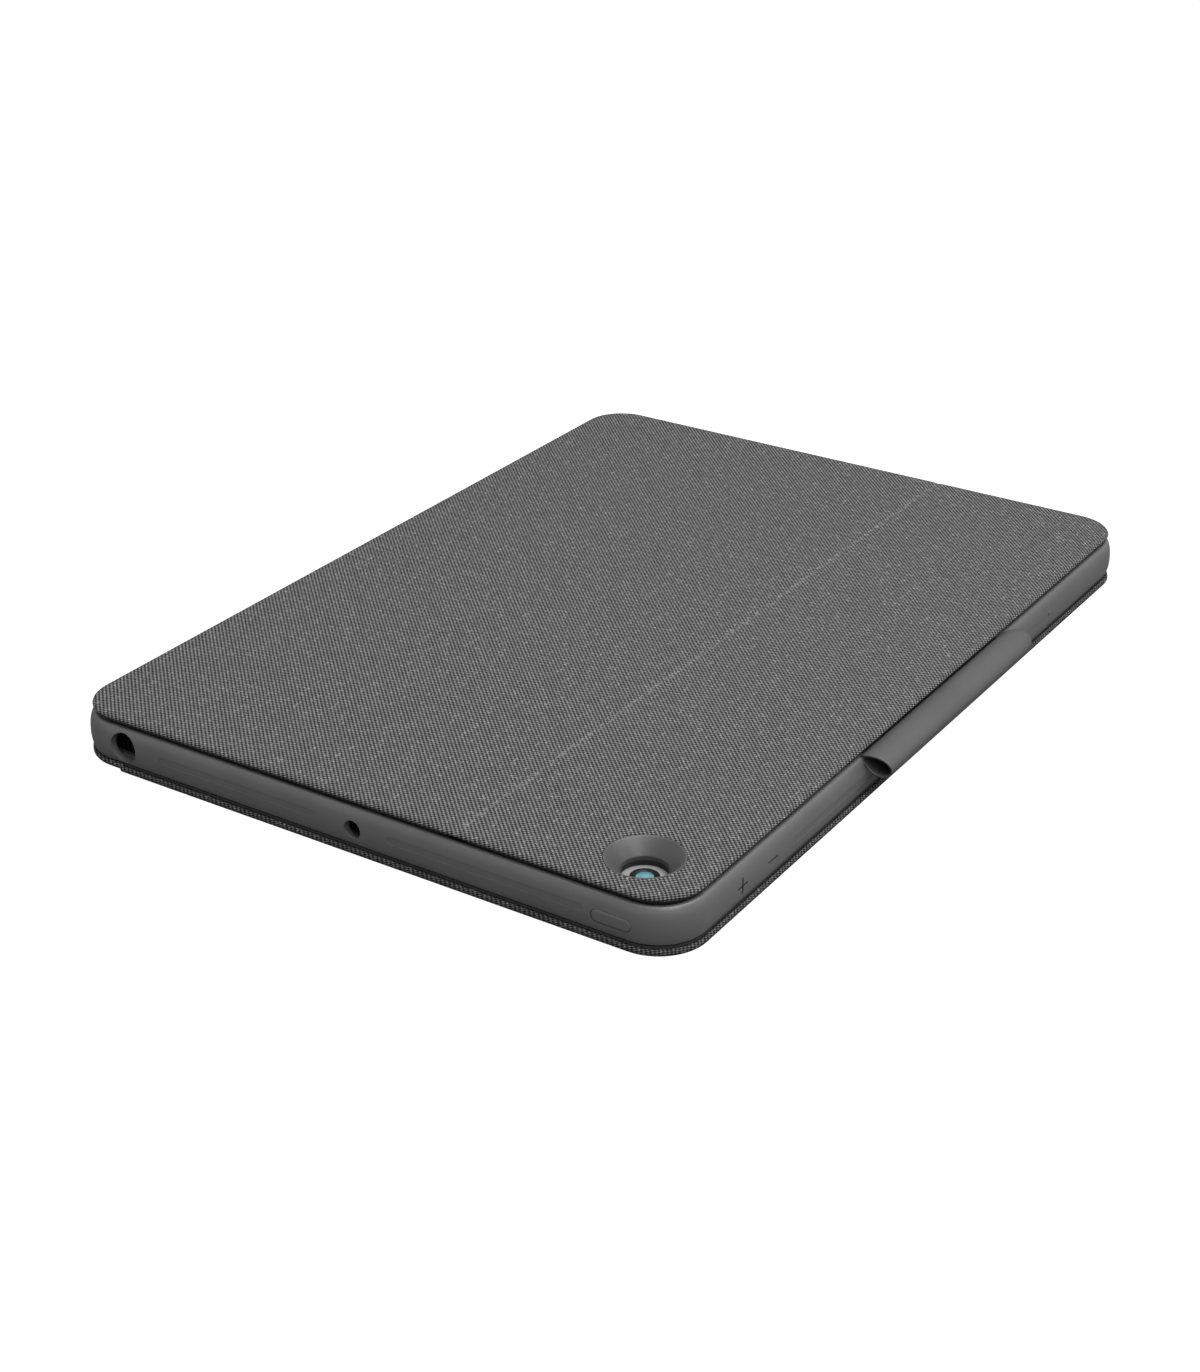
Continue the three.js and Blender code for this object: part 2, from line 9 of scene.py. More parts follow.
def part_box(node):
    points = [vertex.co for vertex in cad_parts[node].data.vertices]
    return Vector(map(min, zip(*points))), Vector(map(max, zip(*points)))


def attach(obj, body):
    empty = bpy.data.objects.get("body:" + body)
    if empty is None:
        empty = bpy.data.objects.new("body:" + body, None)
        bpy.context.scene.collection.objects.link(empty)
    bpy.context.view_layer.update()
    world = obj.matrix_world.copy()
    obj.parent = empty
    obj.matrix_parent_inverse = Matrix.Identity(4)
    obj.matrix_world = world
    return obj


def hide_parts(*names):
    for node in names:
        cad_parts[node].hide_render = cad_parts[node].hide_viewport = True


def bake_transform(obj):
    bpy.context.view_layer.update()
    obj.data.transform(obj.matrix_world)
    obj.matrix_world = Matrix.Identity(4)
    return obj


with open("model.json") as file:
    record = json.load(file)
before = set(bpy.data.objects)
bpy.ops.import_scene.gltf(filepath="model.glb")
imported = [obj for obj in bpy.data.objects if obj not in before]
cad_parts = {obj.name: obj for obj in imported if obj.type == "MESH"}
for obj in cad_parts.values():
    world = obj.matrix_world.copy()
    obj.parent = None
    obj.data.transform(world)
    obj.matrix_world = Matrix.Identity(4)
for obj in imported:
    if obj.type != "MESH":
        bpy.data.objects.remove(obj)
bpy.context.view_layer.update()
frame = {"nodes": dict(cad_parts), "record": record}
mm = 0.001
tiny = 1e-6
nearlyWhole = 0.999  # a bevel of the whole corner radius would close up
bandLow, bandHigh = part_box("case_frame")
caseMiddle = (bandLow.y + bandHigh.y) / 2  # every piece is drawn in millimetres about the middle of the case

viewSettings = {
    "azimuth": -57.04,
    "elevation": 27.06,
    "lens": 63.62,
    "nearest": 0.01,
    "place": (-512.4, -320.2, 299.4),
    "worldGrey": 0.62,
}
softboxes = [
    {"name": "topSoftbox", "place": (20, -260, 920), "aim": (0, 0, 0), "size": 900, "power": 17},
    {"name": "sideSoftbox", "place": (500, -900, 620), "aim": (40, -60, 0), "size": 420, "power": 1.0},
    {"name": "cornerSoftbox", "place": (-420, -620, 520), "aim": (-110, -80, 8), "size": 260, "power": 1.2},
]


def atCase(x, y, z):
    return Vector((x * mm, y * mm + caseMiddle, z * mm))


def setUp(name, data, place, back):
    made = bpy.data.objects.new(name, data)
    made.location = place
    made.rotation_euler = back.to_track_quat("Z", "Y").to_euler()
    bpy.context.scene.collection.objects.link(made)
    return made


def makeStage(settings, lamps):
    azimuth, elevation = math.radians(settings["azimuth"]), math.radians(settings["elevation"])
    level = math.cos(elevation)
    back = Vector((math.sin(azimuth) * level, -math.cos(azimuth) * level, math.sin(elevation)))
    lens = bpy.data.cameras.new("camera")
    lens.lens = settings["lens"]
    lens.clip_start = settings["nearest"]
    bpy.context.scene.camera = setUp("camera", lens, atCase(*settings["place"]), back)

    sky = Recipe("studio", bpy.data.worlds)
    seen = sky.node("ShaderNodeLightPath")  # white to the eye, softer as a light
    bpy.context.scene.world = sky.finish(Color=sky.mix(seen, grey(settings["worldGrey"]), grey(1.0)))
    bpy.context.scene.view_settings.view_transform = "Standard"

    for lamp in lamps:
        light = bpy.data.lights.new(lamp["name"], "AREA")
        light.size = lamp["size"] * mm
        light.energy = lamp["power"]
        place = atCase(*lamp["place"])
        setUp(lamp["name"], light, place, place - atCase(*lamp["aim"]))


class Signal:
    def __init__(self, recipe, socket):
        self.recipe = recipe
        self.socket = socket

    def math(self, operation, *others):
        values = dict(enumerate((self, *others)))
        return self.recipe.node("ShaderNodeMath", {"operation": operation}, values)

    def __add__(self, other):
        return self.math("ADD", other)

    def __sub__(self, other):
        return self.math("SUBTRACT", other)

    def __mul__(self, other):
        return self.math("MULTIPLY", other)

    def __rsub__(self, other):
        return (self * -1).math("ADD", other)

    __radd__ = __add__
    __rmul__ = __mul__

    def between(self, low, high):  # 0 below low, 1 above high
        values = {"Value": self, "From Min": low, "From Max": high}
        return self.recipe.node("ShaderNodeMapRange", {"interpolation_type": "SMOOTHSTEP"}, values)


class Recipe:
    def __init__(self, name, shelf=bpy.data.materials):
        self.made = shelf.new(name)
        self.made.use_nodes = True
        self.tree = self.made.node_tree
        self.shader = self.tree.nodes.get("Principled BSDF") or self.tree.nodes["Background"]

    def node(self, kind, settings=None, values=None, output=0):
        made = self.tree.nodes.new(kind)
        for name, value in (settings or {}).items():
            setattr(made, name, value)
        for name, value in (values or {}).items():
            self.feed(made.inputs[name], value)
        return Signal(self, made.outputs[output])

    def feed(self, socket, value):
        if isinstance(value, Signal):
            self.tree.links.new(value.socket, socket)
        else:
            socket.default_value = value

    def place(self):
        return self.node("ShaderNodeTexCoord", output="Object")

    def noise(self, place, scale, detail=3.0, rough=0.55):
        values = {"Vector": place, "Scale": scale, "Detail": detail, "Roughness": rough}
        return self.node("ShaderNodeTexNoise", None, values)

    def split(self, place):
        first = self.node("ShaderNodeSeparateXYZ", None, {0: place})
        return [Signal(self, out) for out in first.socket.node.outputs]

    def join(self, x, y, z=0.0):
        return self.node("ShaderNodeCombineXYZ", None, {0: x, 1: y, 2: z})

    def mix(self, share, first, second):  # the colour sockets are inputs 6 and 7, and output 2
        values = {"Factor": share, 6: first, 7: second}
        return self.node("ShaderNodeMix", {"data_type": "RGBA"}, values, output=2)

    def bump(self, height, distance, strength=1.0):
        return self.node("ShaderNodeBump", None, {"Height": height, "Distance": distance, "Strength": strength})

    def finish(self, **values):
        for name, value in values.items():
            self.feed(self.shader.inputs[name], value)
        return self.made


def grey(level, tint=(1.0, 1.0, 1.0)):
    return (level * tint[0], level * tint[1], level * tint[2], 1.0)


makeStage(viewSettings, softboxes)
print("camera and light ready")


# Plain weave of a light and a dark yarn, drawn on the cloth's own flat layout. Scales are repeats in a metre,
# and a pair of levels is where a pattern begins to show and where it shows fully.
wovenSettings = {
    "thread": 0.66,
    "light": 0.138,
    "lightSpread": (0.84, 1.12),
    "lightLevels": (0.32, 0.68),
    "dark": 0.011,
    "darkSpread": (0.7, 1.4),
    "darkLevels": (0.3, 0.7),
    "tint": (1.0, 1.0, 1.005),
    "wobbleScale": 320.0,
    "wobble": 0.9,
    "yarnScales": (900, 190),
    "upLevels": (-0.4, 0.62),
    "slub": 0.27,
    "slubScales": (420, 1300),
    "slubLevels": (0.63, 0.71),
    "crossSlubLevels": (0.64, 0.72),
    "slubBelow": 0.3,  # how much of a slub shows where its yarn dips under
    "slubStrength": 0.6,
    "fibreScale": 5200.0,
    "fibreRelief": 0.35,
    "fibreRough": 0.15,
    "rough": 0.82,
    "relief": 0.16,
    "specular": 0.12,
}
creaseWear = {"reach": (0.0003, 0.0012), "scales": (600, 900), "levels": (0.44, 0.64), "strength": 0.24}


def wovenCloth(name, settings, creaseAt=None):
    r = Recipe(name)
    flat = r.node("ShaderNodeUVMap", {"uv_map": "cloth"})
    u, v, _ = r.split(flat)

    def streaks(scaleU, scaleV, detail=2.0):
        return r.noise(r.join(u * scaleU, v * scaleV), 1.0, detail)

    turn = math.pi / (settings["thread"] * mm)
    wobble = r.noise(flat, settings["wobbleScale"], 2.0) * settings["wobble"] - settings["wobble"] / 2
    weave = (u * turn + wobble).math("COSINE") * (v * turn + wobble).math("COSINE")
    up = weave.between(*settings["upLevels"])
    across, along = settings["yarnScales"]
    yarnTone = (streaks(across, along) + streaks(along, across)) * 0.5
    fibre = r.noise(flat, settings["fibreScale"], 2.0)

    along, across = settings["slubScales"]
    slubs = streaks(along, across, 1.0).between(*settings["slubLevels"])
    crossSlubs = streaks(across, along, 1.0).between(*settings["crossSlubLevels"])
    below = settings["slubBelow"]
    fleck = (slubs + crossSlubs).math("MINIMUM", 1.0) * (below + up * (1 - below)) * settings["slubStrength"]
    if creaseAt is not None:
        near = 1 - (v - creaseAt).math("ABSOLUTE").between(*creaseWear["reach"])
        worn = near * streaks(*creaseWear["scales"]).between(*creaseWear["levels"]) * creaseWear["strength"]
        fleck = (fleck + worn).math("MINIMUM", 1.0)

    light, dark = settings["light"], settings["dark"]
    dullLight, fullLight = settings["lightSpread"]
    dullDark, fullDark = settings["darkSpread"]
    lightTone = yarnTone.between(*settings["lightLevels"])
    darkTone = yarnTone.between(*settings["darkLevels"])
    lightYarn = r.mix(lightTone, grey(light * dullLight), grey(light * fullLight, settings["tint"]))
    darkYarn = r.mix(darkTone, grey(dark * dullDark), grey(dark * fullDark))
    return r.finish(
        **{
            "Base Color": r.mix(fleck, r.mix(up, darkYarn, lightYarn), grey(settings["slub"])),
            "Roughness": settings["rough"] + fibre * settings["fibreRough"],
            "Normal": r.bump(up + fibre * settings["fibreRelief"], settings["relief"] * mm),
            "Specular IOR Level": settings["specular"],
        }
    )


# Moulded plastic or elastomer: soft clouds of tone, and a fine grain from the mould.
skinSettings = {
    "cloudScale": 60.0,
    "cloudLevels": (0.3, 0.7),
    "cloudRough": 0.08,
    "grainScale": 2600.0,
    "grainRough": 0.05,
    "roughShift": 0.06,
}


def mouldedSkin(name, level, rough, mottling=0.12, grain=0.02, specular=0.4):
    r = Recipe(name)
    here = r.place()
    cloud = r.noise(here, skinSettings["cloudScale"], 3.0)
    fine = r.noise(here, skinSettings["grainScale"], 2.0)
    tone = cloud.between(*skinSettings["cloudLevels"])
    uneven = cloud * skinSettings["cloudRough"] + fine * skinSettings["grainRough"]
    return r.finish(
        **{
            "Base Color": r.mix(tone, grey(level * (1 - mottling)), grey(level * (1 + mottling))),
            "Roughness": rough - skinSettings["roughShift"] + uneven,
            "Normal": r.bump(fine, grain * mm),
            "Specular IOR Level": specular,
        }
    )


# Rolled or plated metal: brush lines along x, and a faint stain.
metalSettings = {
    "lineScales": (40, 3000, 3000),
    "lineLevels": (0.3, 0.7),
    "toneSpread": (0.85, 1.05),
    "lineRough": 0.12,
    "stainScale": 90.0,
    "stainRough": 0.08,
    "relief": 0.01,
}


def brushedMetal(name, level, rough, tint=(1.0, 1.0, 1.0)):
    r = Recipe(name)
    here = r.place()
    stretched = [side * scale for side, scale in zip(r.split(here), metalSettings["lineScales"])]
    lines = r.noise(r.join(*stretched), 1.0, 2.0)
    stain = r.noise(here, metalSettings["stainScale"], 3.0)
    tone = lines.between(*metalSettings["lineLevels"])
    dull, full = metalSettings["toneSpread"]
    uneven = lines * metalSettings["lineRough"] + stain * metalSettings["stainRough"]
    return r.finish(
        **{
            "Base Color": r.mix(tone, grey(level * dull, tint), grey(level * full, tint)),
            "Metallic": 1.0,
            "Roughness": rough - metalSettings["stainRough"] + uneven,
            "Normal": r.bump(lines, metalSettings["relief"] * mm),
        }
    )


boardSettings = {
    "mask": (0.01, 0.09, 0.04, 1),
    "copper": (0.25, 0.32, 0.1, 1),
    "trackTurn": 2600,
    "trackLevels": (0.55, 0.8),
    "patchScale": 90.0,
    "patchLevels": (0.46, 0.54),
    "rough": 0.4,
    "unevenScale": 400.0,
    "unevenRough": 0.2,
}


def circuitBoard(name, settings):
    r = Recipe(name)
    here = r.place()
    lines = (r.split(here)[0] * settings["trackTurn"]).math("SINE").between(*settings["trackLevels"])
    tracks = lines * r.noise(here, settings["patchScale"], 1.0).between(*settings["patchLevels"])
    return r.finish(
        **{
            "Base Color": r.mix(tracks, settings["mask"], settings["copper"]),
            "Roughness": settings["rough"] + r.noise(here, settings["unevenScale"]) * settings["unevenRough"],
        }
    )


# On the flat cloth, v is the place along y plus the height of the cloth.
creaseLow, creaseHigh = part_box("crease_fabric")
cloth = {
    "back": wovenCloth("backCloth", wovenSettings, creaseAt=(creaseLow.y + creaseHigh.y) / 2 + creaseHigh.z),
    "cover": wovenCloth("coverCloth", dict(wovenSettings, light=0.105)),
}
finishes = {
    "fabric": cloth["cover"],
    "elastomer": mouldedSkin("softFrame", 0.088, 0.4, mottling=0.05, grain=0.015, specular=0.6),
    "loop": mouldedSkin("loopSkin", 0.045, 0.5, mottling=0.05, grain=0.03),
    "plastic": mouldedSkin("mouldedShell", 0.03, 0.45, mottling=0.03),
    "bezel": mouldedSkin("bezelPlastic", 0.042, 0.42, mottling=0.05, grain=0.012),
    "deck": mouldedSkin("deckPlastic", 0.035, 0.5, mottling=0.06, grain=0.02),
    "keycap": mouldedSkin("keycapPlastic", 0.018, 0.5, mottling=0.2, grain=0.02),
    "glass_pad": mouldedSkin("touchSurface", 0.06, 0.32, mottling=0.05, grain=0.004),
    "microfibre": mouldedSkin("microfibre", 0.04, 0.9, mottling=0.08, grain=0.12, specular=0.15),
    "steel": brushedMetal("stampedSteel", 0.6, 0.32),
    "magnet": brushedMetal("nickelPlate", 0.7, 0.22),
    "bumper": mouldedSkin("bumperRubber", 0.012, 0.75, mottling=0.2, grain=0.02),
    "circuit": circuitBoard("circuitBoard", boardSettings),
    "film": mouldedSkin("smokedFilm", 0.02, 0.35, mottling=0.1),
    "latch": brushedMetal("blackenedSteel", 0.12, 0.5),
    # the plus and minus are raised in the frame's elastomer; this near-black finish is painted shade around
    # their relief
    "mark": mouldedSkin("markSkin", 0.022, 0.5, mottling=0.05, grain=0.015),
    "gold": brushedMetal("goldPlate", 0.85, 0.2, tint=(1.0, 0.76, 0.35)),
    # near-black finish that paints the shade in the gap under the fabric edge and deep in the camera hole
    "dark": mouldedSkin("paintedShadeLining", 0.008, 0.7, mottling=0.3),
}
ownFinish = {
    "keyboard_deck": "deck",
    "kickstand_latch_plate": "latch",
    # the two panel cores get the near-black finish: painted shade in the gap under the fabric edge
    "camera_panel_core": "dark",
    "kickstand_core": "dark",
}
for entry in frame["record"]["subparts"]:
    node = frame["nodes"][entry["node"]]
    node.data.materials.clear()
    node.data.materials.append(finishes[ownFinish.get(entry["node"], entry["material_slot"])])
print("materials ready")


def insetRing(verts, size, inset, z):
    coreX, coreY = size["x"] / 2 - size["corner"], size["y"] / 2 - size["corner"]
    middle = size.get("middle", 0.0)
    for vert in verts:
        nearX = min(max(vert.co.x, -coreX), coreX)
        nearY = min(max(vert.co.y - middle, -coreY), coreY) + middle
        out = Vector((vert.co.x - nearX, vert.co.y - nearY))
        if out.length > tiny:
            out = out.normalized() * (size["corner"] - inset)
        vert.co = (nearX + out.x, nearY + out.y, z)


# A slab with rounded corners. Rings run from the bottom up, each an inset from the outline and a height.
def roundedSlab(size, rings, cutX=(), cutY=(), openBelow=False):
    bm = bmesh.new()
    bmesh.ops.create_grid(bm, x_segments=1, y_segments=1, size=0.5)
    bmesh.ops.scale(bm, vec=(size["x"], size["y"], 1), verts=bm.verts)
    bmesh.ops.bevel(
        bm, geom=bm.verts[:], offset=size["corner"] * nearlyWhole, segments=size.get("steps", 12), profile=0.5,
        affect="VERTICES", material=-1,
    )
    bmesh.ops.translate(bm, vec=(0, size.get("middle", 0.0), 0), verts=bm.verts)
    cuts = [((x, 0, 0), (1, 0, 0)) for x in cutX] + [((0, y, 0), (0, 1, 0)) for y in cutY]
    for place, normal in cuts:
        everything = bm.verts[:] + bm.edges[:] + bm.faces[:]
        bmesh.ops.bisect_plane(bm, geom=everything, plane_co=place, plane_no=normal)
    outline = {v for e in bm.edges if e.is_boundary for v in e.verts}
    bmesh.ops.translate(bm, vec=(0, 0, rings[0][1]), verts=bm.verts)
    insetRing(outline, size, *rings[0])
    top = bm.faces[:]
    below = top
    for inset, z in rings[1:]:
        last = top
        grown = bmesh.ops.extrude_face_region(bm, geom=last)["geom"]
        top = [g for g in grown if isinstance(g, bmesh.types.BMFace)]
        if last is not below:
            bmesh.ops.delete(bm, geom=[f for f in last if f.is_valid], context="FACES")
        lid = set(top)
        fresh = {v for f in top for v in f.verts}
        rim = {v for v in fresh if any(f not in lid for f in v.link_faces)}
        for vert in fresh - rim:
            vert.co.z = z
        insetRing(rim, size, inset, z)
    if openBelow:
        bmesh.ops.delete(bm, geom=[f for f in below if f.is_valid], context="FACES")
    bmesh.ops.recalc_face_normals(bm, faces=bm.faces[:])
    return bm


def widened(size, by):
    return dict(size, x=size["x"] + 2 * by, y=size["y"] + 2 * by, corner=size["corner"] + by)


def box(x0, x1, y0, y1, z0, z1):
    bm = bmesh.new()
    bmesh.ops.create_cube(bm, size=1)
    bmesh.ops.scale(bm, vec=(x1 - x0, y1 - y0, z1 - z0), verts=bm.verts)
    bmesh.ops.translate(bm, vec=((x0 + x1) / 2, (y0 + y1) / 2, (z0 + z1) / 2), verts=bm.verts)
    return bm


def drum(x, y, radius, z0, z1, segments):
    bm = bmesh.new()
    bmesh.ops.create_cone(bm, cap_ends=True, segments=segments, radius1=radius, radius2=radius, depth=z1 - z0)
    bmesh.ops.translate(bm, vec=(x, y, (z0 + z1) / 2), verts=bm.verts)
    return bm


# Stands a flat slab up so that its top faces along an axis.
facing = {
    "x": Matrix(((0, 0, 1), (1, 0, 0), (0, 1, 0))),
    "-x": Matrix(((0, 0, -1), (1, 0, 0), (0, 1, 0))),
    "y": Matrix(((1, 0, 0), (0, 0, 1), (0, 1, 0))),
}


def stood(bm, way, at):
    bmesh.ops.transform(bm, matrix=facing[way].to_4x4(), verts=bm.verts)
    bmesh.ops.translate(bm, vec=at, verts=bm.verts)
    bmesh.ops.recalc_face_normals(bm, faces=bm.faces[:])
    return bm


def pill(length, height, depth, way, at, steps=10):
    size = {"x": length, "y": height, "corner": height / 2 * nearlyWhole, "steps": steps}
    return stood(roundedSlab(size, [(0, 0), (0, depth)]), way, at)


def joined(shapes):
    whole = bmesh.new()
    for shape in shapes:
        passing = bpy.data.meshes.new("passing")
        shape.to_mesh(passing)
        whole.from_mesh(passing)
        bpy.data.meshes.remove(passing)
        shape.free()
    return whole


def newObject(name, bm, material=None):
    bmesh.ops.scale(bm, vec=(mm, mm, mm), verts=bm.verts)
    bmesh.ops.translate(bm, vec=(0, caseMiddle, 0), verts=bm.verts)
    mesh = bpy.data.meshes.new(name)
    bm.to_mesh(mesh)
    bm.free()
    if material:
        mesh.materials.append(material)
    made = bpy.data.objects.new(name, mesh)
    bpy.context.scene.collection.objects.link(made)
    return made


# The weave follows the cloth as it lies at rest.
def layFlat(made):
    bm = bmesh.new()
    bm.from_mesh(made.data)
    sheet = bm.loops.layers.uv.get("cloth") or bm.loops.layers.uv.new("cloth")
    for face in bm.faces:
        for loop in face.loops:
            at = loop.vert.co
            loop[sheet].uv = (at.x + at.z, at.y + at.z)
    bm.to_mesh(made.data)
    bm.free()


def smooth(made, angle):
    made.data.shade_smooth()
    made.data.set_sharp_from_angle(angle=math.radians(angle))


def settle(made):
    bpy.context.view_layer.update()
    shaped = bpy.data.meshes.new_from_object(made.evaluated_get(bpy.context.evaluated_depsgraph_get()))
    made.modifiers.clear()
    old = made.data
    made.data = shaped
    bpy.data.meshes.remove(old)


def addWall(made, thick):
    wall = made.modifiers.new("wall", "SOLIDIFY")
    wall.thickness = thick * mm
    wall.offset = -1


# Cuts the cutters out of a piece and leaves one plain mesh.
def carve(made, cutters, angle):
    tools = [newObject(f"cutter{i}", bm) for i, bm in enumerate(cutters)]
    for tool in tools:
        step = made.modifiers.new("carve", "BOOLEAN")
        step.operation = "DIFFERENCE"
        step.solver = "EXACT"
        step.object = tool
    settle(made)
    for tool in tools:
        bpy.data.objects.remove(tool)
    smooth(made, angle)


backCloth = {
    "size": {"x": 255.4, "y": 182.2, "corner": 13.4, "steps": 16},
    "rings": [(2.0, 14.02), (1.5, 14.08), (1.22, 14.3), (1.1, 14.68), (1.27, 15.05), (1.6, 15.34), (2.15, 15.5),
              (3.2, 15.55)],
    "cutX": [-90, -60, -30, 0, 30, 60, 90, 120],
    "cutY": [-55, 0, 30, 60],
    "hole": {"x": -111.7, "y": -72.5, "radius": 9.78, "z0": 10, "z1": 20, "segments": 96},
    "crease": -30.2,
    "creaseCuts": [-5, -3.4, -2.6, -1.9, -1.3, -0.8, -0.4, 0, 0.4, 0.8, 1.3, 1.9, 2.6, 3.4, 5],
    "creaseDepth": 0.16,
    "creaseWidth": 0.9,
    "topAbove": 15.0,
    "thick": 0.5,
}


def makeBack(settings):
    crease = settings["crease"]
    cutY = [crease + away for away in settings["creaseCuts"]] + settings["cutY"]
    bm = roundedSlab(settings["size"], settings["rings"], settings["cutX"], cutY, openBelow=True)
    for vert in bm.verts:
        away = (vert.co.y - crease) / settings["creaseWidth"]
        if vert.co.z > settings["topAbove"]:
            vert.co.z -= settings["creaseDepth"] * math.exp(-away * away)
    made = newObject("backFabric", bm, cloth["back"])
    addWall(made, settings["thick"])
    settle(made)
    carve(made, [drum(**settings["hole"])], 40)
    layFlat(made)
    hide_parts("camera_panel_fabric", "crease_fabric", "kickstand_fabric")
    atCase(0, crease - 2.6, 14)
    atCase(0, crease + 2.6, 14)
    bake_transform(made)


makeBack(backCloth)
print("fabric back ready")


# Each profile is a list of radius and height, turned about the middle of the camera hole.
bezelRing = {
    "x": -111.7,
    "y": -72.5,
    "segments": 96,
    "profile": [(5.75, 11.0), (5.62, 11.15), (5.6, 12.2), (5.68, 12.34), (9.12, 15.38), (9.3, 15.55),
                (9.48, 15.6), (9.64, 15.54), (9.72, 15.3), (9.72, 14.5), (8.2, 13.3), (6.5, 11.8), (6.5, 11.0)],
    # a near-black ring between the bezel and the tablet plate, painted shade deep in the hole
    "shadeSleeve": [(5.7, 11.2), (5.7, 9.9), (6.4, 9.9), (6.4, 11.2)],
}
lensDisc = {
    "x": -111.5,
    "y": -72.4,
    "segments": 64,
    "back": [(0, 9.3), (6.5, 9.3), (6.5, 9.72), (4.3, 9.75), (3.95, 9.9), (3.6, 9.95), (3.6, 9.6), (0, 9.6)],
    "barrel": [(0, 9.4), (3.55, 9.4), (3.55, 10.12), (3.4, 10.2), (2.7, 10.14), (2.4, 9.98), (0, 9.95)],
    "glass": [(0, 9.9), (2.15, 9.9), (2.1, 10.06), (1.4, 10.16), (0, 10.2)],
}
lensCoating = {
    "deep": (0.012, 0.07, 0.09, 1),
    "bright": (0.10, 0.27, 0.32, 1),
    "scale": 600.0,
    "rough": 0.08,
    "unevenRough": 0.05,
}


def coatedGlass(name, settings):
    r = Recipe(name)
    tone = r.noise(r.place(), settings["scale"], 2.0)
    return r.finish(
        **{
            "Base Color": r.mix(tone, settings["deep"], settings["bright"]),
            "Roughness": settings["rough"] + tone * settings["unevenRough"],
            "Coat Weight": 1.0,
        }
    )


def turned(name, settings, profile, finish, closed=False):
    bm = bmesh.new()
    verts = [bm.verts.new((r, 0, z)) for r, z in settings[profile]]
    edges = [bm.edges.new(pair) for pair in zip(verts, verts[1:])]
    if closed:
        edges.append(bm.edges.new((verts[-1], verts[0])))
    bmesh.ops.spin(
        bm, geom=verts + edges, cent=(0, 0, 0), axis=(0, 0, 1), angle=2 * math.pi, steps=settings["segments"],
        use_merge=True, use_duplicate=False,
    )
    bmesh.ops.remove_doubles(bm, verts=bm.verts[:], dist=1e-4)
    bmesh.ops.dissolve_degenerate(bm, dist=1e-5, edges=bm.edges[:])
    bmesh.ops.recalc_face_normals(bm, faces=bm.faces[:])
    bmesh.ops.translate(bm, vec=(settings["x"], settings["y"], 0), verts=bm.verts)
    made = newObject(name, bm, finish)
    smooth(made, 50)
    return made


def makeCameraHole(ring, lens):
    made = turned("cameraBezel", ring, "profile", finishes["bezel"], closed=True)
    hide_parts("camera_bezel")
    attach(made, "case")
    # the near-black ring paints the shade between the bezel and the tablet plate
    shadeSleeve = turned("cameraShadeSleeve", ring, "shadeSleeve", finishes["dark"], closed=True)
    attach(shadeSleeve, "case")
    tabletGrey = mouldedSkin("tabletBack", 0.21, 0.35, mottling=0.03, grain=0.004)
    black = mouldedSkin("lensBarrel", 0.003, 0.35, mottling=0.2, grain=0.002, specular=0.2)
    for name, profile, finish in (
        ("tabletCameraPlate", "back", tabletGrey),
        ("tabletLensBarrel", "barrel", black),
        ("tabletLensGlass", "glass", coatedGlass("lensGlass", lensCoating)),
    ):
        part = turned(name, lens, profile, finish)
        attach(part, "case")


makeCameraHole(bezelRing, lensDisc)
print("camera hole ready")


softFrame = {
    "size": {"x": 255.4, "y": 182.2, "corner": 13.4, "steps": 20},
    "rings": [(2.4, 3.0), (1.0, 3.02), (0.7, 3.15), (0.42, 3.8), (0.16, 5.0), (0.02, 6.4), (0.0, 7.4),
              (0.04, 8.6), (0.16, 9.8), (0.34, 10.75), (0.58, 11.5), (0.86, 12.1), (1.14, 12.5), (1.48, 12.73),
              (1.9, 12.82), (3.2, 12.84)],
    "cutX": [-104, -96, -90, -80.5, -76.6, -40, 0, 40, 73.6, 90, 110],
    "cutY": [-80.5, -66.5, -60, -20, -10.6, -4, 3, 10.2, 25, 45, 60.4, 67, 78.5],
    "bay": {"x": 251.2, "y": 174.7, "corner": 10, "middle": -1.15, "steps": 10},
    "hollows": [(0, 4.4, 20), (-2, 0, 6), (0.6, 11.4, 12.55)],  # wider than the bay by, from height, to height
    "roundHoles": [(8.3, 8.2, 72.4, 7.7, 16), (4.9, 4.8, -0.6, 7.3, 14)],  # length, height, y, z, steps
    "holeDepth": 4,
    "gripHeight": 1.9,
    "gripDepth": 0.15,
    "endGrips": [(50, 35.3, 8), (55, -38.5, 8)],  # length, y, z
    "longGrip": (149, -1.5, 7.2),  # length, x, z
    "portHeight": 7.4,
    "portInside": 3.1,
    "farPorts": [(15, 6.4, 0), (26, 3, -45), (26, 3, 45)],  # length, height, y from the middle of the bay
    "connectorSlot": (-84.9, 84.9, 87, 89.8, 0, 9.5),
    "cableSlot": {"half": 9, "into": 3, "y1": 87.2, "z1": 8.6},
    "loopGap": {"x0": -37, "x1": 41, "y0": -95, "into": 0.5, "z0": 12.3, "z1": 20},
}
powerButton = {
    "y": -73.5,
    "z": 7.2,
    "length": 10.8,
    "height": 3.5,
    "steps": 12,
    "rings": [(0, -1.55), (0, -0.35), (0.1, -0.14), (0.35, 0.0), (0.8, 0.05)],
    "sunk": 0.02,
    "gap": 0.16,
    "groove": 0.08,
    "seam": 0.02,
    "seamDepth": 2.2,
    "pocket": {"x": -126.6, "length": 12.8, "height": 6.2, "depth": 2},
}
volumeMarks = {
    "places": {"up": -99.2, "down": -85.2},
    "z": 7.35,
    "stroke": 4.4,
    "line": 0.62,
    "depth": 0.16,
    "root": 2.1,
    "clearance": 0.05,
}
outside = 1  # cutters start this far outside the frame


def markBars(marks, kind, grow, y0, y1):
    x, z = marks["places"][kind], marks["z"]
    half, line = marks["stroke"] / 2 + grow, marks["line"] / 2 + grow
    bars = [box(x - half, x + half, y0, y1, z - line, z + line)]
    if kind == "up":
        bars.append(box(x - line, x + line, y0, y1, z - half, z + half))
    return bars


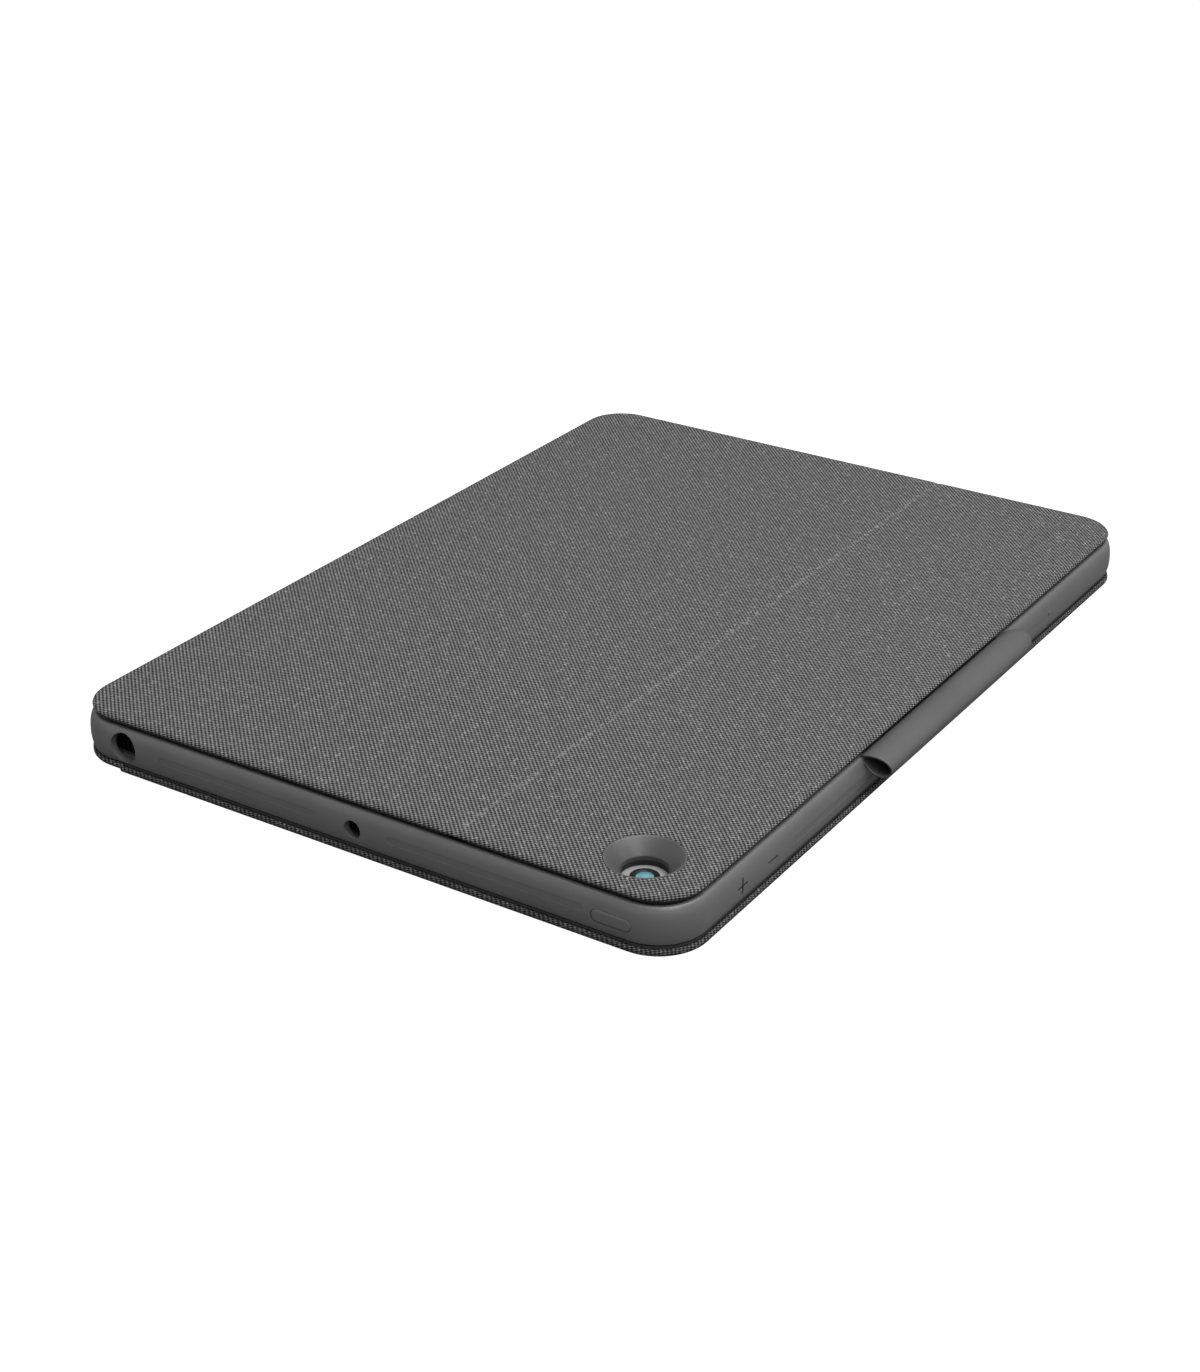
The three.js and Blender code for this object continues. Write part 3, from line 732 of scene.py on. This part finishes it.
def makeFrame(settings, power, marks):
    endX, sideY = -settings["size"]["x"] / 2 - outside, -settings["size"]["y"] / 2 - outside
    bay = settings["bay"]
    low, high = bay["middle"] - bay["y"] / 2, bay["middle"] + bay["y"] / 2
    bm = roundedSlab(settings["size"], settings["rings"], settings["cutX"], settings["cutY"])
    made = newObject("softFrame", bm, finishes["elastomer"])

    cutters = [roundedSlab(widened(bay, by), [(0, z0), (0, z1)]) for by, z0, z1 in settings["hollows"]]
    for length, height, y, z, steps in settings["roundHoles"]:
        cutters.append(pill(length, height, settings["holeDepth"], "x", (endX, y, z), steps))
    grip = (settings["gripHeight"], settings["gripDepth"] + outside)
    for length, y, z in settings["endGrips"]:
        cutters.append(pill(length, *grip, "x", (endX, y, z)))

    buttonAt = (endX, power["y"], power["z"])
    for gap, depth in ((power["gap"], outside + power["groove"]), (power["seam"], power["seamDepth"])):
        cutters.append(pill(power["length"] + 2 * gap, power["height"] + 2 * gap, depth, "x", buttonAt))
    pocket = power["pocket"]
    pocketAt = (pocket["x"], power["y"], power["z"])
    cutters.append(pill(pocket["length"], pocket["height"], pocket["depth"], "x", pocketAt))

    farX = settings["size"]["x"] / 2 - settings["portInside"]
    for length, height, away in settings["farPorts"]:
        portAt = (farX, bay["middle"] + away, settings["portHeight"])
        cutters.append(pill(length, height, settings["holeDepth"], "x", portAt))
    length, x, z = settings["longGrip"]
    cutters.append(pill(length, *grip, "y", (x, sideY, z)))

    cutters.append(box(*settings["connectorSlot"]))
    cable, gap = settings["cableSlot"], settings["loopGap"]
    cutters.append(box(-cable["half"], cable["half"], high - cable["into"], cable["y1"], 0, cable["z1"]))
    cutters.append(box(gap["x0"], gap["x1"], gap["y0"], low + gap["into"], gap["z0"], gap["z1"]))
    for kind in marks["places"]:
        cutters += markBars(marks, kind, marks["clearance"], sideY, low + gap["into"])
    carve(made, cutters, 30)

    even = made.modifiers.new("evenShading", "WEIGHTED_NORMAL")
    even.keep_sharp = True
    settle(made)
    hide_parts("case_frame")
    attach(made, "case")


def makeButtons(settings, power, marks):
    outX, outY = settings["size"]["x"] / 2, settings["size"]["y"] / 2
    size = {"x": power["length"], "y": power["height"], "corner": power["height"] / 2 * nearlyWhole,
            "steps": power["steps"]}
    bm = stood(roundedSlab(size, power["rings"]), "-x", (-outX + power["sunk"], power["y"], power["z"]))
    made = newObject("powerButton", bm, finishes["elastomer"])
    smooth(made, 40)
    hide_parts("power_button")
    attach(made, "power_press")
    for kind in marks["places"]:
        bars = markBars(marks, kind, 0.0, -outY + marks["depth"], -outY + marks["root"])
        # the near-black finish of the marks paints the shade around their relief
        made = newObject(f"volumeButton_{kind}", joined(bars), finishes["mark"])
        smooth(made, 30)
        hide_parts(f"volume_{kind}_button")
        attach(made, f"volume_{kind}_press")


makeFrame(softFrame, powerButton, volumeMarks)
makeButtons(softFrame, powerButton, volumeMarks)
print("soft frame ready")


stylusLoop = {
    "section": [(-89.2, 13.2), (-90.7, 13.7), (-92.5, 14.0), (-94.4, 14.0), (-96.2, 13.6), (-97.7, 12.8),
                (-98.55, 11.5), (-98.3, 10.1), (-97.2, 9.0), (-95.4, 8.45), (-93.4, 8.6), (-91.8, 9.6),
                (-90.4, 11.0), (-89.3, 12.3)],
    "along": [-39, -38.6, -34, -20, 0, 20, 36, 40],
    "closing": [(43, 0.97), (45.4, 0.88), (47.2, 0.7), (48.2, 0.42), (48.6, 0.12)],
    "heart": (-93.0, 12.4),
    "wall": 0.6,
    "rounding": 2,
}


def makeLoop(settings):
    bm = bmesh.new()
    ring = [bm.verts.new((settings["along"][0], y, z)) for y, z in settings["section"]]
    edges = [bm.edges.new((a, b)) for a, b in zip(ring, ring[1:] + ring[:1])]
    heartY, heartZ = settings["heart"]
    lastX, lastShare = settings["along"][0], 1.0
    for x, share in [(x, 1.0) for x in settings["along"][1:]] + settings["closing"]:
        grown = bmesh.ops.extrude_edge_only(bm, edges=edges)["geom"]
        edges = [g for g in grown if isinstance(g, bmesh.types.BMEdge)]
        verts = [g for g in grown if isinstance(g, bmesh.types.BMVert)]
        shrink = share / lastShare
        bmesh.ops.translate(bm, vec=(x - lastX, 0, 0), verts=verts)
        heart = Matrix.Translation((0, -heartY, -heartZ))
        bmesh.ops.scale(bm, vec=(1, shrink, shrink), space=heart, verts=verts)
        lastX, lastShare = x, share
    bmesh.ops.edgeloop_fill(bm, edges=edges)
    bmesh.ops.recalc_face_normals(bm, faces=bm.faces[:])
    made = newObject("stylusLoop", bm, finishes["loop"])
    addWall(made, settings["wall"])
    rounding = made.modifiers.new("rounding", "SUBSURF")
    rounding.levels = rounding.render_levels = settings["rounding"]
    made.data.shade_smooth()
    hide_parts("pencil_loop")
    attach(made, "case")


makeLoop(stylusLoop)
print("stylus loop ready")


coverCloth = {
    "size": {"x": 255.2, "y": 182.0, "corner": 13.3, "steps": 16},
    "rings": [(1.5, 0.0), (0.75, 0.1), (0.3, 0.4), (0.05, 0.85), (0.0, 1.25), (0.08, 1.65), (0.3, 1.93),
              (0.62, 2.02), (1.6, 2.03)],
    "rear": 74.5,
    "rearEdge": 0.5,
    "wall": 0.68,
    "rearWall": 0.6,
    "hollow": [(0.8, 0.35), (0.2, 0.8), (0, 1.2), (0, 4)],
}
foldCloth = {
    "size": {"x": 255.2, "y": 182.0, "corner": 13.3, "steps": 16},
    "rings": [(0.9, 0.95), (0.35, 1.1), (0.12, 1.5), (0.12, 2.0), (0.4, 2.4), (0.95, 2.55)],
    "cutY": [74 + 0.75 * i for i in range(23)],
    "front": 73.6,
    "topAbove": 1.9,
    "rise": 0.42,
    "riseFrom": 84.6,
    "riseOver": 1.2,
    "bend": (75.2, 91.1),
}


def trim(bm, y, keepLow):
    normal = (0, 1, 0) if keepLow else (0, -1, 0)
    everything = bm.verts[:] + bm.edges[:] + bm.faces[:]
    cut = bmesh.ops.bisect_plane(bm, geom=everything, plane_co=(0, y, 0), plane_no=normal, clear_outer=True)
    rim = [g for g in cut["geom_cut"] if isinstance(g, bmesh.types.BMEdge)]
    bmesh.ops.edgeloop_fill(bm, edges=rim)
    bmesh.ops.recalc_face_normals(bm, faces=bm.faces[:])


def bevelled(bm, edges, offset, segments):
    bmesh.ops.bevel(bm, geom=edges, offset=offset, segments=segments, profile=0.5, affect="EDGES", material=-1)


def makeCover(settings):
    rear = settings["rear"]
    bm = roundedSlab(settings["size"], settings["rings"])
    trim(bm, rear, True)
    rearEdges = [e for e in bm.edges if all(abs(v.co.y - rear) < 0.01 for v in e.verts)]
    bevelled(bm, rearEdges, settings["rearEdge"], 3)
    made = newObject("keyboardCover", bm, cloth["cover"])
    hollow = roundedSlab(widened(settings["size"], -settings["wall"]), settings["hollow"])
    trim(hollow, rear - settings["rearWall"], True)
    carve(made, [hollow], 40)
    layFlat(made)
    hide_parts("keyboard_cover_fabric")
    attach(made, "keyboard")


def makeFold(settings):
    bm = roundedSlab(settings["size"], settings["rings"], cutY=settings["cutY"])
    trim(bm, settings["front"], False)
    for vert in bm.verts:
        past = vert.co.y - settings["riseFrom"]
        if vert.co.z > settings["topAbove"] and past > 0:
            vert.co.z += settings["rise"] * min(1.0, past / settings["riseOver"])
    made = newObject("hingeFold", bm, cloth["cover"])
    smooth(made, 40)
    layFlat(made)
    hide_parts("hinge_fabric_outer", "hinge_fabric_inner", "hinge_ribbon_cable")
    start, end = settings["bend"]
    atCase(0, start, 1.7)
    atCase(0, end, 1.7)
    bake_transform(made)


makeCover(coverCloth)
makeFold(foldCloth)
print("keyboard cover ready")


keyShape = {
    "gap": 2.4,
    "corner": 1.3,
    "height": 1.55,
    "dish": 0.1,
    "rim": 0.5,
    "edge": 0.28,
    "shoulder": 0.35,
    "bar": {"keys": (4, 7), "half": 1.4, "y0": 2.4, "y1": 2.8, "sunk": 0.3, "proud": 0.02},
}
keyRows = [
    ("lower_row_keys", "lower_row", [2.3, *[1] * 10, 2.3]),
    ("home_row_keys", "home_row", [1.8, *[1] * 11, 1.8]),
    ("upper_row_keys", "upper_row", [1.6, *[1] * 13]),
    ("number_row_keys", "number_row", [*[1] * 13, 1.6]),
    ("function_row_keys", "function_row", [1] * 14),
    ("left_modifier_keys", "left_modifiers", [1, 1, 1, 1.3]),
    ("space_bar", "space", [4.8]),
    ("right_modifier_keys", "right_modifiers", [1.3, 1.2, 1, 1, 1]),
]


def topFace(bm):
    return max(bm.faces, key=lambda f: (round(f.calc_center_median().z, 4), f.calc_area()))


def keycap(x0, x1, y0, y1, top, settings):
    bm = box(x0, x1, y0, y1, top - settings["height"], top)
    upright = [e for e in bm.edges if abs(e.verts[0].co.z - e.verts[1].co.z) > 0.1]
    bevelled(bm, upright, settings["corner"], 4)
    crown = topFace(bm)
    middle = crown.calc_center_median()
    shoulder = settings["shoulder"]
    for vert in crown.verts:  # the cap narrows a little towards its top
        side = vert.co - middle
        vert.co -= Vector((math.copysign(shoulder, side.x), math.copysign(shoulder, side.y), 0))
    bevelled(bm, crown.edges[:], settings["edge"], 2)
    bmesh.ops.inset_region(bm, faces=[topFace(bm)], thickness=settings["rim"], use_even_offset=True)
    for vert in topFace(bm).verts:
        vert.co.z -= settings["dish"]
    return bm


def makeKeys(settings):
    half, bar = settings["gap"] / 2, settings["bar"]
    for node, body, widths in keyRows:
        low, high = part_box(node)
        x0, x1 = low.x / mm - half, high.x / mm + half
        y0, y1 = (low.y - caseMiddle) / mm, (high.y - caseMiddle) / mm
        top = high.z / mm
        unit = (x1 - x0) / sum(widths)
        caps, x = [], x0
        for width in widths:
            nextX = x + width * unit
            caps.append(keycap(x + half, nextX - half, y0, y1, top, settings))
            x = nextX
        if node == "home_row_keys":  # raised bars under the resting index fingers
            for key in bar["keys"]:
                middle = x0 + (widths[0] + key - 0.5) * unit
                caps.append(box(middle - bar["half"], middle + bar["half"], y0 + bar["y0"], y0 + bar["y1"],
                                top - bar["sunk"], top + bar["proud"]))
        made = newObject(node.replace("_keys", "") + "Caps", joined(caps), finishes["keycap"])
        smooth(made, 50)
        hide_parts(node)
        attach(made, body)


touchpadEdge = {"corner": 3.0, "steps": 8, "rings": [(0, -0.2), (0.08, -0.06), (0.3, 0)]}  # heights from the top


def makeTouchpad(settings):
    low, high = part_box("trackpad")
    bottom, top = low.z / mm, high.z / mm
    size = {
        "x": (high.x - low.x) / mm,
        "y": (high.y - low.y) / mm,
        "corner": settings["corner"],
        "steps": settings["steps"],
        "middle": ((low.y + high.y) / 2 - caseMiddle) / mm,
    }
    bm = roundedSlab(size, [(0, bottom), *[(inset, top + z) for inset, z in settings["rings"]]])
    made = newObject("touchpad", bm, finishes["glass_pad"])
    smooth(made, 40)
    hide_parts("trackpad")
    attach(made, "trackpad_plate")


makeKeys(keyShape)
makeTouchpad(touchpadEdge)
print("keys ready")


paperFloor = {
    "half": 12,
    "grey": 0.14,
    "mottling": 0.01,
    "cloudScale": 3.0,
    "rough": 0.8,
    "unevenRough": 0.1,
    "specular": 0.1,
    "glow": 1.0,
}


def makeFloor(settings):
    bm = bmesh.new()
    bmesh.ops.create_grid(bm, x_segments=1, y_segments=1, size=settings["half"])
    mesh = bpy.data.meshes.new("floor")
    bm.to_mesh(mesh)
    bm.free()
    r = Recipe("paleFloor")
    tone = r.noise(r.place(), settings["cloudScale"], 2.0)
    level = settings["grey"]
    seen = r.node("ShaderNodeLightPath")  # lit paper to the eye, but it throws less light back at the sides
    mesh.materials.append(r.finish(**{
        "Base Color": r.mix(tone, grey(level), grey(level * (1 + settings["mottling"]))),
        "Roughness": settings["rough"] + tone * settings["unevenRough"],
        "Specular IOR Level": settings["specular"],
        "Emission Color": r.mix(seen, grey(0), grey(settings["glow"])),
        "Emission Strength": 1.0,
    }))
    floor = bpy.data.objects.new("floor", mesh)
    bpy.context.scene.collection.objects.link(floor)


makeFloor(paperFloor)
